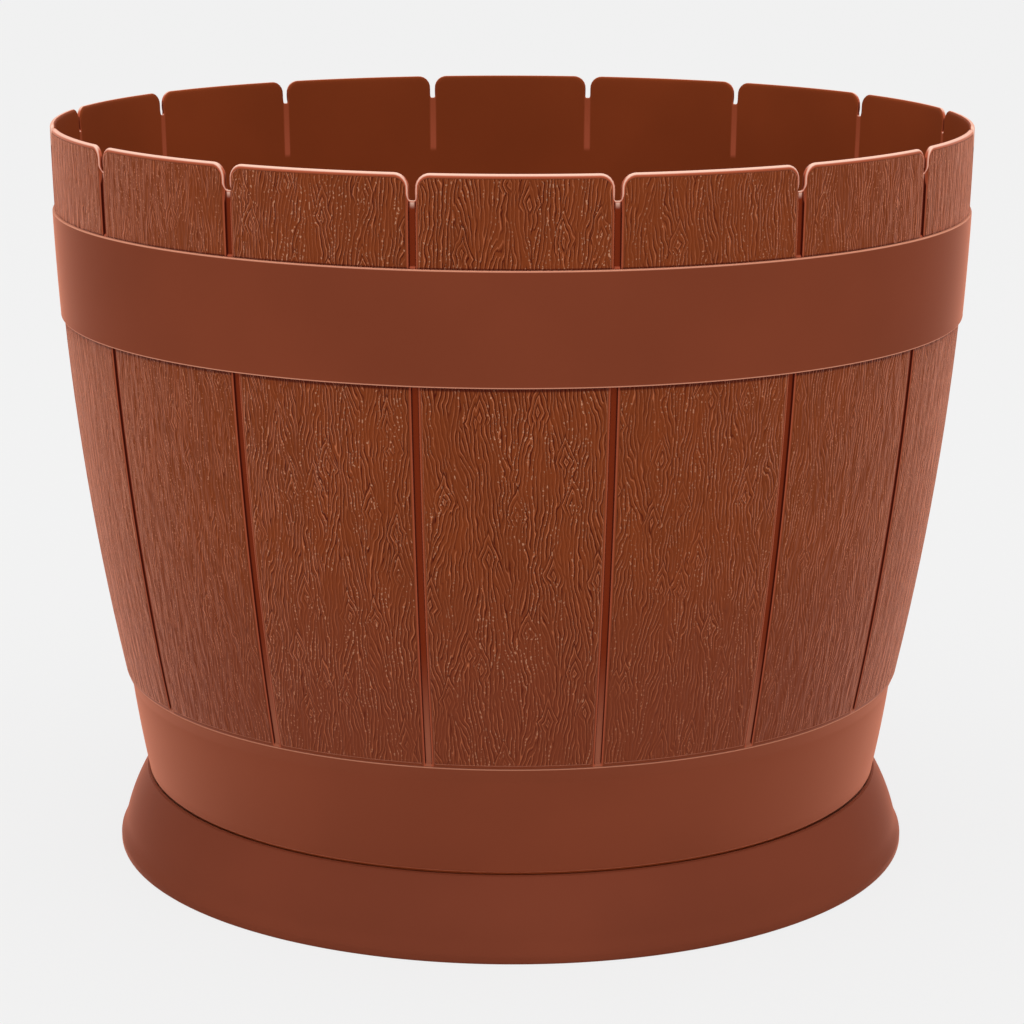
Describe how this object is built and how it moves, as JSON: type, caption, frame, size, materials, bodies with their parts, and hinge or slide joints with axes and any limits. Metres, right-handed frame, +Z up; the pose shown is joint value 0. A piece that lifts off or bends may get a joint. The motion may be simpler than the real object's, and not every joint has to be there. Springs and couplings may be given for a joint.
{
  "type": "barrel planter",
  "caption": "Barrel-shaped floor planter with stave-look walls, plain hoops, a flared base that holds a drip tray, and push-in drain plugs.",
  "frame": {"origin": "centre of the base where it meets the floor", "axes": "+Z up along the axis of the barrel; +X to the right and -Y towards the viewer, square to the middle of a stave"},
  "size_m": [0.4798, 0.4798, 0.3884],
  "materials": {
    "stave_plastic": "embossed wood grain, satin",
    "hoop_plastic": "smooth satin",
    "base_plastic": "smooth satin",
    "plug_plastic": "smooth satin"
  },
  "bodies": {
    "base": {"base_tray": "base_plastic"},
    "pot": {"stave_shell": "stave_plastic", "upper_hoop": "hoop_plastic", "lower_hoop": "hoop_plastic"},
    "plug_1": {"drain_plug_1": "plug_plastic"},
    "plug_2": {"drain_plug_2": "plug_plastic"},
    "plug_3": {"drain_plug_3": "plug_plastic"},
    "plug_4": {"drain_plug_4": "plug_plastic"}
  },
  "joints": [
    {"name": "pot_lift", "type": "slide", "parent": "base", "child": "pot", "axis": [0, 0, 1], "range_m": [0, 0.06]},
    {"name": "plug_1_pull", "type": "slide", "parent": "pot", "child": "plug_1", "axis": [0, 0, 1], "range_m": [0, 0.02]},
    {"name": "plug_2_pull", "type": "slide", "parent": "pot", "child": "plug_2", "axis": [0, 0, 1], "range_m": [0, 0.02]},
    {"name": "plug_3_pull", "type": "slide", "parent": "pot", "child": "plug_3", "axis": [0, 0, 1], "range_m": [0, 0.02]},
    {"name": "plug_4_pull", "type": "slide", "parent": "pot", "child": "plug_4", "axis": [0, 0, 1], "range_m": [0, 0.02]}
  ]
}
